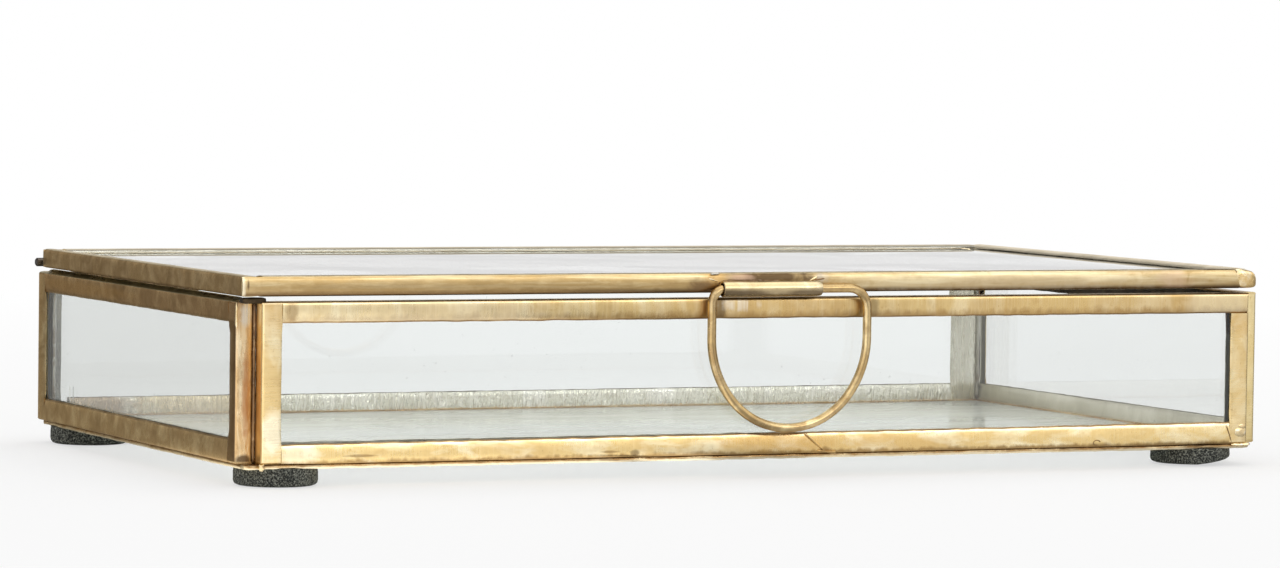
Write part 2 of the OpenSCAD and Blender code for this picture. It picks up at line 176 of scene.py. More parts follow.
def brass(name, main, light, dark, grain=(3200, 3200, 60), patch=(70, 70, 25), stain=0.5,
          rough=(0.22, 0.4), streaks=0.25, wide_share=0.5, grain_bump=0.25, crinkle=0.0,
          panels=0.0, tint=(1.0, 0.9, 0.72), spots=(), edges=(), seed=0.0):
    """Tarnished brass sheet: brushed grain, worn bright patches, brown stains. spots are burnt
    or wiped places, painted shadows and painted highlights: centre and radii in mm, colour,
    strength, and whether only the grain shows them. edges are bands from a level, most of them
    painted shade or highlights along folds, lips and gaps: axis, level, reach and raggedness in
    mm, colour, strength."""
    g = graph(name)
    cloud = g.noise(patch, 4, 0.62, (seed, 3, 7), 0.8)
    worn = g.noise(tuple(v * 1.7 for v in patch), 3, 0.6, (5, seed, 1), 0.5)
    fine = g.noise(grain, 3, 0.6, (seed, 0, 0))
    wide = g.noise(tuple(v * 0.22 for v in grain), 2, 0.5, (0, seed, 2))
    speck = g.noise(1700, 2, 0.5, (1, 2, seed))
    blot = g.noise(330, 3, 0.6, (2, seed, 4), 0.6)
    colour = g.mix(g.ramp(worn, 0.46, 0.7), main, light)
    if panels:
        along = g.noise(tuple(35 if v >= 1000 else 4 for v in grain), 1, 0.5, (seed, seed, seed))
        colour = g.stain(colour, g.ramp(along, 0.49, 0.51), panels, dark)
    for value, lo, hi, strength, other in (
            (cloud, 0.5, 0.72, stain, dark), (blot, 0.56, 0.74, stain * 0.55, dark),
            (wide, 0.5, 0.76, streaks * wide_share, dark), (fine, 0.5, 0.7, streaks, light),
            (speck, 0.66, 0.74, 0.4, dark)):
        colour = g.stain(colour, g.ramp(value, lo, hi), strength, other)
    for axis, at, reach, ragged, other, strength in edges:
        mask = g.edge(axis, at, reach, ragged, g.mix(0.5, wide, blot))
        colour = g.stain(colour, mask, strength, other)
    for centre, radii, other, strength, *grainy in spots:
        mask = g.spot(centre, radii, blot)
        if grainy:
            mask = g.math("MULTIPLY", mask, g.ramp(wide, 0.5, 0.58))
        colour = g.stain(colour, mask, strength, other)
    roughness = g.math("ADD", g.ramp(cloud, 0.35, 0.7, *rough),
                       g.ramp(fine, *NOISE, -0.05, 0.07))
    normal = g.bump(fine, grain_bump, 0.00006)
    normal = g.bump(g.noise(130, 2, 0.5, (seed, 8, 8)), 0.4, 0.0006, normal)
    if crinkle:
        folds = (1250, 1250, 190) if grain[0] != grain[2] else (900, 900, 900)
        normal = g.bump(g.noise(folds, 2, 0.5, (3, seed, 5), 1.5), crinkle, 0.0003, normal)
    return g.shade(Base_Color=colour, Metallic=1.0, Roughness=roughness, Normal=normal,
                   Specular_Tint=(*tint, 1))


def solder(name, main, dark, light, rough=(0.3, 0.55), scale=500):
    """Lumpy metal in three tones. scale is the finest lumps' number per metre."""
    g = graph(name)
    a = g.noise(scale, 4, 0.6, (1, 2, 3), 0.5)
    b = g.noise(scale * 0.3, 3, 0.5, (4, 2, 9), 0.3)
    colour = g.mix(g.ramp(b, 0.4, 0.65), main, dark)
    colour = g.mix(g.ramp(a, 0.56, 0.74), colour, light)
    normal = g.bump(a, 0.5, 0.0002)
    return g.shade(Base_Color=colour, Metallic=1.0, Roughness=g.ramp(a, *NOISE, *rough),
                   Normal=normal)


def glass(name, tint, rough=0.0, dust=0.0, dust_colour=(0.8, 0.8, 0.74), scratches=()):
    """Clear pane that also lets lamps through, under a film of dust and a few scratches
    (centre and radii in mm)."""
    g = graph(name)
    wave = g.noise(22, 2, 0.5, (2, 4, 6))
    smear = g.noise((14, 60, 60), 3, 0.6, (7, 1, 3))
    body = g.add("BsdfPrincipled", {
        "Base Color": tint, "Roughness": rough, "IOR": 1.5, "Transmission Weight": 1.0,
        "Normal": g.bump(wave, 0.06, 0.0006)})
    clear = g.add("BsdfTransparent", {"Color": (0.9, 0.93, 0.92)})
    film = g.add("BsdfDiffuse", {"Color": dust_colour})
    grit = g.ramp(g.noise(900, 2, 0.5, (3, 3, 3)), 0.74, 0.78, 0.0, 0.25)
    cover = g.math("ADD", g.ramp(smear, *NOISE, dust * 0.6, dust * 1.3), grit)
    for centre, radii in scratches:
        cover = g.math("ADD", cover, g.math("MULTIPLY", g.spot(centre, radii, smear), 0.6))
    dusty = g.either(g.math("MINIMUM", cover, 0.9), body, film)
    return g.finish(g.either(g.add("LightPath").outputs["Is Shadow Ray"], dusty, clear))


# Colours of stains, of painted shade and of painted highlights, and then the palette: each sheet's
# main, light and dark tone. The faces' copies of the brass differ partly by tarnish and partly as
# painted light and shade of how each face is lit. Spots and edges are at places on the shut box,
# in mm.
# near-black brown: mostly painted shade, painted shadows and a painted dark reflection; also a
# small dark mark on the lower front rail
DARK_SHADE_AND_STAIN = (0.1, 0.06, 0.03)
BROWN = (0.3, 0.18, 0.07)
OCHRE = (0.62, 0.36, 0.11)
PINK = (0.62, 0.42, 0.29)
CREAM = (0.96, 0.87, 0.64)
WHITE = (1.0, 0.97, 0.88)
UNDER_LID = (Z, 31.0, -1.0, 0.3, (0.16, 0.08, 0.04), 0.95)  # shadowed band, as an edge
GOLD, GOLD_LIGHT, GOLD_DARK = (0.79, 0.58, 0.26), (0.97, 0.86, 0.58), (0.42, 0.25, 0.09)
LEFT_TINT = (0.9, 0.75, 0.56)
# The front top rail: the dark line along its top edge is painted shade under the lid, and the two
# dark spots beside the handle's legs are the legs' painted shadows.
FRONT_TOP = brass(
    "brass_front_top", (0.7, 0.52, 0.24), (0.92, 0.8, 0.52), GOLD_DARK, seed=1.5, panels=0.2,
    edges=[(Z, 35.5, 1.4, 0.9, BROWN, 0.75), (Z, 39.75, -0.35, 0.05, DARK_SHADE_AND_STAIN, 0.85)],
    spots=[((-8, -68, 37), (26, 5, 7), OCHRE, 0.3), ((-86, -68, 37), (36, 5, 6), CREAM, 0.3),
           ((80, -68, 37), (46, 5, 6), OCHRE, 0.22), ((112, -68, 37), (10, 5, 6), CREAM, 0.35),
           ((-13.6, -68, 37), (1.5, 4, 4), DARK_SHADE_AND_STAIN, 0.65), ((24, -68, 37), (1.6, 4, 4), DARK_SHADE_AND_STAIN, 0.5),
           ((-8.8, -68, 38.2), (5.0, 4, 1.5), WHITE, 0.4, True),
           ((-114, -68, 37.4), (1.6, 4, 2.6), BROWN, 0.55)])
# The lower front rail is a lighter copy, partly a painted reflection of the floor. The dark band
# along its bottom fold is painted shade, and the cream band along its top fold a painted
# highlight.
FRONT_LOW = brass(
    "brass_front_low", GOLD, GOLD_LIGHT, (0.5, 0.32, 0.13), seed=4.1, streaks=0.12, stain=0.45,
    patch=(60, 60, 160), edges=[(Z, 5.3, 0.7, 0.5, BROWN, 0.85), (Z, 9.4, -0.5, 0.2, CREAM, 0.6)],
    spots=[((2, -68, 7.6), (18, 5, 2.6), OCHRE, 0.5), ((30, -68, 7), (14, 5, 2), OCHRE, 0.3),
           ((-98, -68, 6.6), (4, 4, 0.3), BROWN, 0.7),
           ((-39.6, -68, 6.3), (2.4, 4, 0.3), BROWN, 0.7),
           ((-33.6, -68, 5.9), (1.2, 4, 0.7), DARK_SHADE_AND_STAIN, 0.6),
           ((12.6, -68, 5.6), (1.7, 4, 0.9), BROWN, 0.7),
           ((-112, -68, 7.5), (5, 4, 3), CREAM, 0.6)])
# The front stiles: the dark line at their top is painted shade under the lid.
FRONT_V = brass(
    "brass_front_stile", (0.77, 0.57, 0.27), (0.95, 0.83, 0.55), (0.5, 0.31, 0.12),
    grain=(50, 50, 3200), patch=(60, 60, 60), streaks=0.1, seed=4.5,
    edges=[(Z, 39.75, -0.3, 0.05, DARK_SHADE_AND_STAIN, 0.7)],
    spots=[((-118, -68, 12), (3, 4, 5), CREAM, 0.85), ((-118, -68, 37), (4, 4, 4), OCHRE, 0.3),
           ((-115.6, -68, 36.6), (0.5, 4, 2), BROWN, 0.6),
           ((118.4, -68, 33), (4, 4, 3), OCHRE, 0.3)])
# The left side's sheets, here and on the lid, are darker and browner copies: partly patina, partly
# painted shade of the side turned from the light. The dark band along the top rail's lower lip is
# painted shade of the gap.
LEFT_TOP = brass("brass_left_top", (0.36, 0.235, 0.125), (0.54, 0.39, 0.22), (0.16, 0.09, 0.045),
                 patch=(110, 110, 110), stain=0.7, streaks=0.15, wide_share=0.2, tint=LEFT_TINT,
                 seed=8.2, edges=[(Z, 35.3, 0.6, 0.4, DARK_SHADE_AND_STAIN, 0.6)],
                 spots=[((-126, 40, 37.4), (6, 40, 1.6), OCHRE, 0.25)])
LEFT_LOW = brass("brass_left_low", (0.52, 0.37, 0.19), (0.76, 0.6, 0.34), (0.25, 0.155, 0.07),
                 patch=(110, 110, 110), stain=0.6, streaks=0.15, wide_share=0.2, tint=LEFT_TINT,
                 seed=6.6)
# The lid's front rail gets darker towards the bottom and has a dark line along its lower edge:
# painted shade of its rounded face. At its left end a cream stripe is a painted highlight on the
# corner, with a painted shade line beside it, and the dark brown spot left of the handle's tube is
# painted shade beside the wire's shoulder. The near-black, ochre and pink patches above the tube
# are heat stains.
LID_FRONT_M = brass(
    "brass_lid_front", (0.56, 0.4, 0.18), (0.82, 0.68, 0.4), (0.32, 0.2, 0.085),
    grain=(300, 1500, 1000), patch=(24, 200, 420), streaks=0.36, rough=(0.3, 0.46), seed=2.7,
    edges=[(Z, 40.9, 3.2, 0.4, BROWN, 0.55), (Z, 41.35, 0.7, 0.15, DARK_SHADE_AND_STAIN, 0.85)],
    spots=[((-125.2, -70, 43), (0.9, 5, 4), CREAM, 0.85),
           ((-123.9, -70, 43.3), (0.35, 5, 1.6), DARK_SHADE_AND_STAIN, 0.8),
           ((-80, -70, 43), (60, 5, 8), BROWN, 0.3), ((60, -70, 43.6), (55, 5, 3), CREAM, 0.3),
           ((-1.5, -70, 44.2), (14.5, 5, 3), (0.09, 0.052, 0.025), 0.92),
           ((-15, -70, 44), (4, 5, 2), OCHRE, 0.5),
           ((-18, -70, 42), (4.5, 5, 2.2), (0.2, 0.12, 0.06), 0.8),
           ((11, -70, 44), (2, 5, 1.2), WHITE, 0.2), ((-9, -70, 44.2), (4, 5, 0.9), PINK, 0.6),
           ((100.8, -70, 42.8), (5, 5, 3), PINK, 0.4), ((60, -70, 42), (30, 5, 2), BROWN, 0.2)])
CAP_M = brass("brass_cap", (0.74, 0.53, 0.24), (0.98, 0.9, 0.68), (0.4, 0.23, 0.09),
              grain=(700, 700, 700), patch=(200, 200, 200), rough=(0.2, 0.36), crinkle=0.25,
              seed=6.3)
# The lid's left rail: the same darker copy as the left walls, partly patina, partly painted shade;
# the dark line along its lower edge is painted shade of the gap.
LID_SIDE = brass("brass_lid_side", (0.38, 0.265, 0.14), (0.6, 0.46, 0.27), (0.17, 0.1, 0.05),
                 patch=(110, 110, 110), stain=0.65, streaks=0.15, wide_share=0.2, tint=LEFT_TINT,
                 seed=6.1, edges=[(Z, 41.0, 0.5, 0.2, DARK_SHADE_AND_STAIN, 0.6)])
# The dark spot next to the corner cap is a painted dark reflection in the top fold.
LID_TOP = brass("brass_lid_top", (0.5, 0.42, 0.27), (0.7, 0.62, 0.44), (0.3, 0.23, 0.13), seed=7.1,
                spots=[((112.5, -65.5, 45.2), (5.5, 5, 2.2), DARK_SHADE_AND_STAIN, 0.95)])
# The lid's back and right rails are pale: a painted reflection of the white backdrop, seen at a
# grazing angle.
LID_FAR = brass("brass_lid_far", (0.9, 0.86, 0.75), (0.98, 0.95, 0.88), (0.66, 0.58, 0.44),
                rough=(0.14, 0.24), grain_bump=0.08, seed=7.7)
ROOM_BACK = brass("brass_room_back", (0.84, 0.82, 0.7), (1.0, 0.98, 0.9), (0.36, 0.28, 0.15),
                  grain=(900, 900, 60), rough=(0.15, 0.3), crinkle=1.3, streaks=0.45,
                  wide_share=0.15, stain=0.3, seed=3.3,
                  spots=[((-85, 66, 8), (17, 8, 5), (0.8, 0.58, 0.24), 0.5),
                         ((-112, 66, 8), (13, 8, 5), (0.36, 0.24, 0.12), 0.8)],
                  edges=[UNDER_LID])
ROOM_POST = brass("brass_room_post", (0.64, 0.61, 0.5), (0.82, 0.8, 0.7), (0.34, 0.28, 0.17),
                  grain=(900, 900, 60), rough=(0.22, 0.36), crinkle=0.5, seed=3.9)
ROOM_SIDE = brass("brass_room_side", (0.62, 0.6, 0.5), (0.78, 0.76, 0.66), (0.4, 0.38, 0.3),
                  grain=(500, 500, 40), patch=(40, 40, 20), streaks=0.2, rough=(0.3, 0.42),
                  grain_bump=0.1, seed=5.3, edges=[UNDER_LID])
ROOM_LEFT = brass("brass_room_left", (0.3, 0.28, 0.19), (0.5, 0.46, 0.33), (0.13, 0.1, 0.06),
                  grain=(500, 500, 40), rough=(0.25, 0.4), stain=0.7, seed=2.9)
ROOM_DARK = brass("brass_room_dark", (0.12, 0.125, 0.085), (0.26, 0.24, 0.15), (0.045, 0.04, 0.03),
                  grain=(700, 700, 200), patch=(300, 300, 120), rough=(0.3, 0.5), stain=0.8,
                  seed=2.2)
BACK = brass("brass_back", (0.55, 0.4, 0.18), (0.78, 0.63, 0.35), (0.28, 0.18, 0.075), seed=9.4)
SIDE_WEB = brass("brass_right_web", (0.78, 0.6, 0.28), (0.95, 0.82, 0.5), (0.4, 0.28, 0.1),
                 grain=(60, 60, 2400), seed=8.8)
# Dark brown for the sheets' lips, the top webs under the lid and the curled lap on the lower front
# rail: painted shade of the gaps they face.
LIP = brass("brass_lip", (0.24, 0.15, 0.07), (0.4, 0.28, 0.14), (0.1, 0.06, 0.03), seed=1.9)
WIRE = brass("brass_wire", (0.5, 0.35, 0.16), (0.74, 0.58, 0.32), (0.22, 0.13, 0.06),
             grain=(300, 300, 300), patch=(120, 120, 120), rough=(0.16, 0.26), streaks=0.15,
             grain_bump=0.08, seed=5.5)
# The tube is darker along its lower half and lighter in a band along its front: painted shade and
# a painted highlight.
TUBE = brass("brass_tube", (0.62, 0.48, 0.26), (0.84, 0.74, 0.5), (0.3, 0.2, 0.1),
             grain=(60, 1200, 1200), rough=(0.2, 0.32), seed=7.7,
             edges=[(Z, 41.2, 1.0, 0.2, (0.17, 0.12, 0.07), 0.9)],
             spots=[((-1, -71, 42.4), (6, 4, 2), (0.7, 0.56, 0.33), 0.5)])
EDGING = brass("brass_edging", (0.5, 0.33, 0.17), (0.8, 0.64, 0.4), (0.2, 0.12, 0.05), seed=2.2)
# The seam under the walls is dark along its top, a painted shadow of the wall above, and lighter
# at its lower rim.
SEAM = brass("brass_seam", (0.5, 0.3, 0.12), (0.86, 0.7, 0.42), (0.16, 0.085, 0.035),
             grain=(500, 500, 500), patch=(90, 90, 300), crinkle=0.2, stain=0.6, seed=4.9,
             edges=[(Z, 4.1, 0.35, 0.15, CREAM, 0.8), (Z, 4.9, -0.5, 0.15, DARK_SHADE_AND_STAIN, 0.9)])
# The near-black spot at the notch's foot is painted shade.
NOTCH = brass("brass_notch", (0.56, 0.37, 0.18), (0.84, 0.7, 0.46), (0.24, 0.12, 0.05),
              grain=(900, 900, 60), patch=(330, 330, 60), stain=0.8, seed=3.9, crinkle=0.2,
              spots=[((-123, -63.1, 5.9), (1.9, 3, 1.2), DARK_SHADE_AND_STAIN, 0.9),
                     ((-122.6, -63.1, 20), (1.0, 3, 10), (0.4, 0.18, 0.07), 0.7),
                     ((-122.6, -63.1, 36.6), (1.5, 3, 2.4), (0.62, 0.58, 0.5), 0.7),
                     ((-121.3, -63.1, 22), (0.4, 3, 18), (0.2, 0.1, 0.045), 0.55)])
NOTCH_GOLD = brass("brass_notch_gold", (0.76, 0.52, 0.23), (0.95, 0.8, 0.5), (0.42, 0.23, 0.09),
                   grain=(900, 900, 40), patch=(120, 120, 40), seed=1.2)
GREY_SOLDER = solder("solder_grey", (0.5, 0.48, 0.42), (0.25, 0.21, 0.16), (0.8, 0.77, 0.7))
BROWN_SOLDER = solder("solder_brown", (0.26, 0.16, 0.08), (0.09, 0.055, 0.035), (0.5, 0.38, 0.24))
BRIGHT_SOLDER = solder("solder_bright", (0.84, 0.68, 0.4), (0.5, 0.33, 0.15), (0.98, 0.92, 0.76),
                       (0.16, 0.32))
DARK_WIRE = solder("wire_dark", (0.1, 0.085, 0.07), (0.04, 0.03, 0.025), (0.3, 0.26, 0.2),
                   (0.25, 0.4), 900)
# Near-black for hollows and gaps: on the tube's bore, the right top rail's room side and the lump
# in the left notch's gap it is painted shade.
BORE = solder("brass_bore", (0.05, 0.035, 0.02), (0.02, 0.015, 0.01), (0.1, 0.07, 0.04),
              (0.5, 0.7))
CLEAR = glass("glass_clear", (0.93, 0.945, 0.94), dust=0.004)
LID_CLEAR = glass("glass_lid", (0.93, 0.945, 0.94), dust=0.01)
# The right and left panes are tinted darker than the front's and the lid's: painted shade.
RIGHT_CLEAR = glass("glass_right", (0.89, 0.9, 0.895), dust=0.012)
SIDE_CLEAR = glass("glass_left", (0.86, 0.875, 0.86), dust=0.015,
                   scratches=[((-125, 49.2, 12.2), (8, 0.5, 2.0)),
                              ((-125, 21.2, 6.4), (8, 0.9, 1.2)),
                              ((-125, -38.4, 6.8), (8, 0.4, 1.0))])
BASE_CLEAR = glass("glass_base", (0.9, 0.92, 0.9), 0.12, 0.36, (0.7, 0.69, 0.62))


def foam():
    g = graph("foam_charcoal")
    cell = g.add("TexVoronoi", {"Vector": g.place((2300,) * 3), "Scale": 1.0})
    grit = g.noise(2800, 3, 0.6)
    colour = g.mix(g.ramp(grit, 0.46, 0.66), (0.03, 0.032, 0.029), (0.34, 0.35, 0.3))
    colour = g.mix(g.ramp(cell.outputs["Distance"], 0.0, 0.35), (0.02, 0.021, 0.02), colour)
    normal = g.bump(cell.outputs["Distance"], 0.8, 0.0003)
    return g.shade(Base_Color=colour, Roughness=0.95, Normal=normal, Specular_IOR_Level=0.2)


FOAM = foam()


# ---------------------------------------------------------------- meshes
def linked(name, data):
    obj = bpy.data.objects.new(name, data)
    bpy.context.scene.collection.objects.link(obj)
    return obj


def meshed(name, bm, mats):
    mesh = bpy.data.meshes.new(name)
    bm.to_mesh(mesh)
    bm.free()
    for mat in mats:
        mesh.materials.append(mat)
    return mesh


def make(name, bm, mats, body, nodes=(), sharp=40):
    """The mesh as an object that rides on a body, wears the given materials and stands in for
    nodes.
    Edges above sharp degrees stay sharp."""
    bmesh.ops.recalc_face_normals(bm, faces=bm.faces)
    mesh = meshed(name, bm, mats)
    mesh.shade_smooth()
    mesh.set_sharp_from_angle(angle=math.radians(sharp))
    obj = linked(name, mesh)
    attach(obj, body)
    if nodes:
        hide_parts(*nodes)
    return obj


def skin(bm, rings, loop=False, pick=None, paint=0):
    """Skins a list of equal rings of points, capped, or joined end to start. pick(i, k) gives
    the material of ring i's edge k."""
    grid = [[bm.verts.new(p) for p in ring] for ring in rings]
    n = len(rings[0])
    pairs = list(zip(grid, grid[1:] + (grid[:1] if loop else [])))
    for i, (a, b) in enumerate(pairs):
        for k in range(n):
            f = bm.faces.new((a[k], a[(k + 1) % n], b[(k + 1) % n], b[k]))
            f.material_index = pick(i, k) if pick else paint
    if not loop:
        for ring in (grid[0], grid[-1]):
            bm.faces.new(ring).material_index = paint


ALONG_Y = Vector((0, 1, 0))


def wob(s, seed, period):
    """Smooth noise along a length."""
    return noise.noise(Vector((s / period, seed * 7.31, seed * 1.7)))


def lump(p, period, seed):
    """Smooth noise at a point."""
    return noise.noise(p / period + Vector((seed * 3.1, seed, 0)))


def squared(v, power):
    """A sine or cosine drawn out towards a square's, the more the smaller the power."""
    return math.copysign(abs(v) ** power, v)


def rod(bm, path, radius, side, count=12, loop=False, lumps=0.0, period=1.5 * MM, seed=0.0,
        paint=0):
    """A round rod along path. radius is one value or a list, side points across the path, and
    lumps is a share of the radius."""
    rings = []
    for i, p in enumerate(path):
        before = path[i - 1] if i or loop else p
        after = path[(i + 1) % len(path)] if i + 1 < len(path) or loop else p
        up = (after - before).normalized().cross(side).normalized()
        r = radius[i] if isinstance(radius, list) else radius
        ring = []
        for k in range(count):
            a = math.tau * k / count
            out = side * math.cos(a) + up * math.sin(a)
            grow = 1 + lumps * lump(p + out * r, period, seed)
            ring.append(p + out * r * grow)
        rings.append(ring)
    skin(bm, rings, loop, paint=paint)


def bead(bm, a, b, r, lumps=0.35, seed=0.0, paint=0, step=0.9 * MM):
    """A lumpy seam from a to b with rounded ends."""
    long = (b - a).length
    n = max(4, int(long / step))
    path, radii = [], []
    for i in range(n + 1):
        s = long * i / n
        end = min(s, long - s) / (1.5 * r)
        radii.append(r * (0.3 + 0.7 * math.sin(min(1.0, end) * math.pi / 2))
                     * (1 + 0.25 * wob(s, seed, 3 * MM)))
        path.append(a + (b - a) * (i / n))
    along = (b - a).normalized()
    side = ALONG_Y if abs(along.y) < 0.8 else Vector((1, 0, 0))
    rod(bm, path, radii, side, 10, lumps=lumps, seed=seed, paint=paint)


def blob(bm, centre, radii, lumps=0.3, seed=0.0, paint=0):
    """A lumpy ball."""
    made = bmesh.ops.create_icosphere(bm, subdivisions=3, radius=1.0)["verts"]
    for v in made:
        ball = v.co.copy()
        grow = 1 + lumps * noise.noise(ball * 1.6 + Vector((seed * 5.3, seed, 1)))
        v.co = centre + Vector(tuple(ball[k] * radii[k] for k in range(3))) * grow
        for f in v.link_faces:
            f.material_index = paint


def bar(bm, lo, hi, axis, lumps=0.16, seed=0.0, paint=0, step=1.1 * MM):
    """A lumpy bar that fills the box lo..hi, along an axis."""
    sides, square = 12, 0.5
    u, v = [k for k in range(3) if k != axis]
    mid, half = (lo + hi) / 2, (hi - lo) / 2
    n = max(3, int((hi[axis] - lo[axis]) / step))
    rings = []
    for i in range(n + 1):
        s = lo[axis] + (hi[axis] - lo[axis]) * i / n
        end = 0.75 if i in (0, n) else 1.0
        ring = []
        for k in range(sides):
            a = math.tau * (k + 0.5) / sides
            c, d = math.cos(a), math.sin(a)
            p = Vector()
            p[axis] = s
            p[u] = mid[u] + half[u] * end * squared(c, square)
            p[v] = mid[v] + half[v] * end * squared(d, square)
            grow = lumps * (lump(p, 1.6 * MM, seed) + 0.7 * lump(p, 5 * MM, seed + 4))
            p[u] += half[u] * grow * c
            p[v] += half[v] * grow * d
            ring.append(p)
        rings.append(ring)
    skin(bm, rings, paint=paint)


# ---------------------------------------------------------------- folded strips
def strip_profile(depth, thick, r, bulge, crown):
    """Closed outline of a folded strip as (d, t) points from the middle of its web, and what
    each edge is: 0 outer flange, 1 flange on the far side, 2 inside, 3 web, 4 outer lip, 5 far
    lip."""
    inner, shares = 0.12 * MM, (0.3, 0.45, 0.62, 0.8, 0.93)
    flat = [q for q in shares if q * depth > r + 0.1 * MM]
    half = [(-crown, thick / 2, 3), (-0.8 * crown, thick * 0.32, 3)]
    for k in range(6):
        a = math.radians(90 * k / 5)
        half.append((r - r * math.cos(a), r - r * math.sin(a), 3 if k < 3 else 0))
    for q in flat:
        share = (q * depth - r) / (depth - r)
        half.append((q * depth, -4 * bulge * share * (1 - share), 0 if q < shares[-1] else 4))
    half.append((depth, inner, 4))
    half.append((depth - 0.05 * MM, SHEET, 2))
    half += [(q * depth, SHEET, 2) for q in shares[-2::-1]]
    half += [(SHEET + inner, SHEET, 2), (SHEET, SHEET + inner, 2)]
    far = [(d, thick - t, tag) for d, t, tag in reversed(half[1:])]
    pts = [(d, t) for d, t, _ in half + far]
    tags = [tag for _, _, tag in half]
    swap = {0: 1, 4: 5}
    tags += [swap.get(tag, tag) for tag in reversed(tags[1:-1])] + [3, 3]
    return pts, tags[:len(pts)]


def folded_back(prof):
    """The outline with its flanges shrunk onto the web's inside, where the strip is a tab."""
    out, web = list(prof), SHEET + 1e-7
    k = 0
    while k < len(prof):
        if prof[k][0] <= web:
            k += 1
            continue
        first = k
        while prof[k][0] > web:
            k += 1
        a, b = prof[first - 1][1], prof[k][1]
        for j in range(first, k):
            out[j] = (SHEET, a + (b - a) * (j - first + 1) / (k - first + 1))
    return out


def came(node, body, length, thick, depth, mats, cuts=(0, 0), seed=0.0, fold=0.66, bulge=0.05,
         pinch=0.15, thin=0.2, ripple=1.0, outer=None, far=None, skew=0.0, calm=False, crown=0.0):
    """A folded strip in its node's box, along the axis length. thick and depth are (axis, sign):
    thick's sign points to the outer flange, and depth's to the web. mats are for the outer
    flange, the far flange, the web and the lips. The flanges are cut back by cuts at both ends.
    In mm: outer and far, the flanges' depths at both ends; fold, the bends' radius; bulge and
    crown, how far flanges and web swell; pinch and thin, how far the lips lean in and thin out;
    skew, the slant of the last end. ripple scales the waves, and calm keeps both ends straight."""
    lo, hi = fbox(node)
    la, ta, da = length, thick[0], depth[0]
    L, T, D = hi[la] - lo[la], hi[ta] - lo[ta], hi[da] - lo[da]
    full, tags = strip_profile(D, T, fold * MM, bulge * MM, (crown or bulge) * MM)
    tab = folded_back(full)
    step, seam, tab_width = 1.25 * MM, 0.03 * MM, 0.94
    wave, lip_wave, skin_depth = 0.022 * MM, 0.09 * MM, SHEET * 0.6
    first = cuts[0] + seam if cuts[0] else 0
    last = L - cuts[1] - seam if cuts[1] else L
    n = max(2, int((last - first) / step))
    stations = [(s, True) for s in ((0, first * 0.5, first) if cuts[0] else ())]
    stations += [(first + (last - first) * i / n, False) for i in range(n + 1)]
    stations += [(s, True) for s in ((last, (last + L) / 2, L) if cuts[1] else ())]
    rings = []
    for s, folded in stations:
        ring = []
        for d, t in (tab if folded else full):
            t = T / 2 + (t - T / 2) * (tab_width if folded and body == "case" else 1)
            if folded and d < 0:
                d = max(d, -0.1 * MM)
            near = t < T / 2
            out = -1 if near else 1
            share = max(0.0, (d - SHEET) / (D - SHEET))
            reach = outer if near else far
            if reach:
                want = (reach[0] + (reach[1] - reach[0]) * s / L) * MM
                d = SHEET + (d - SHEET) * (want - SHEET) / (D - SHEET) if d > SHEET else d
            press = (pinch + 0.05 * wob(s, seed + near * 3, 9 * MM)) * MM * share ** 2
            if t < skin_depth or t > T - skin_depth:
                press += thin * MM * share ** 2
            if calm:
                press *= min(1, max(0, (min(s, L - s) - DEPTH) / (1.5 * MM)))
            tt = t - out * press
            tt += wave * ripple * wob(s, seed + near + 9, 5 * MM) * min(1, share * 2)
            if share > 0.9:
                d += lip_wave * ripple * wob(s, seed + near * 5 + 2, 3.2 * MM)
            v = Vector()
            v[la] = lo[la] + s + (skew * MM * t / T if s > L - 0.1 * MM else 0)
            v[ta] = (hi[ta] - tt) if thick[1] > 0 else (lo[ta] + tt)
            v[da] = (hi[da] - d) if depth[1] > 0 else (lo[da] + d)
            ring.append(v)
        rings.append(ring)
    worn_by = {0: 0, 1: 1, 2: 1, 3: 2, 4: 3, 5: 1}  # which of mats each edge wears
    bm = bmesh.new()
    skin(bm, rings, pick=lambda i, k: worn_by[tags[k]])
    return make(node + "_came", bm, mats, body, [node])


WALLS = {
    # wall: length axis of the rails, outward (axis, sign), room-side material, and materials of
    # the top rail, bottom rail, first stile, last stile, and those stiles' webs
    "front": (X, (Y, -1), ROOM_SIDE, FRONT_TOP, FRONT_LOW, FRONT_V, FRONT_V, NOTCH_GOLD, SIDE_WEB),
    "back": (X, (Y, 1), ROOM_BACK, BACK, BACK, BACK, BACK, BACK, BACK),
    "left": (Y, (X, -1), ROOM_LEFT, LEFT_TOP, LEFT_LOW, LEFT_TOP, LEFT_LOW, NOTCH, LEFT_LOW),
    "right": (Y, (X, 1), ROOM_SIDE, BACK, BACK, BACK, BACK, SIDE_WEB, BACK),
}
TOP_WEB = {"front": LIP, "back": ROOM_SIDE, "left": ROOM_LEFT, "right": LIP}
SHAPES = {
    "front_rail_bottom": {"outer": (4.3, 5.15), "ripple": 2.0, "fold": 0.75},
    "front_rail_top": {"fold": 0.72, "ripple": 1.4},
    "left_rail_top": {"crown": 0.75},
    "back_stile_left": {"far": (2.2, 2.3), "outer": (2.3, 2.3)},
    "back_stile_right": {"far": (7.6, 7.7)},
}
LID_SHAPES = {
    "front": {"fold": 0.95, "bulge": 0.11, "skew": CAP_SKEW},
    "right": {"fold": 0.8, "bulge": 0.06, "thin": 0.36, "pinch": 0.2},
}
seed = 1.0
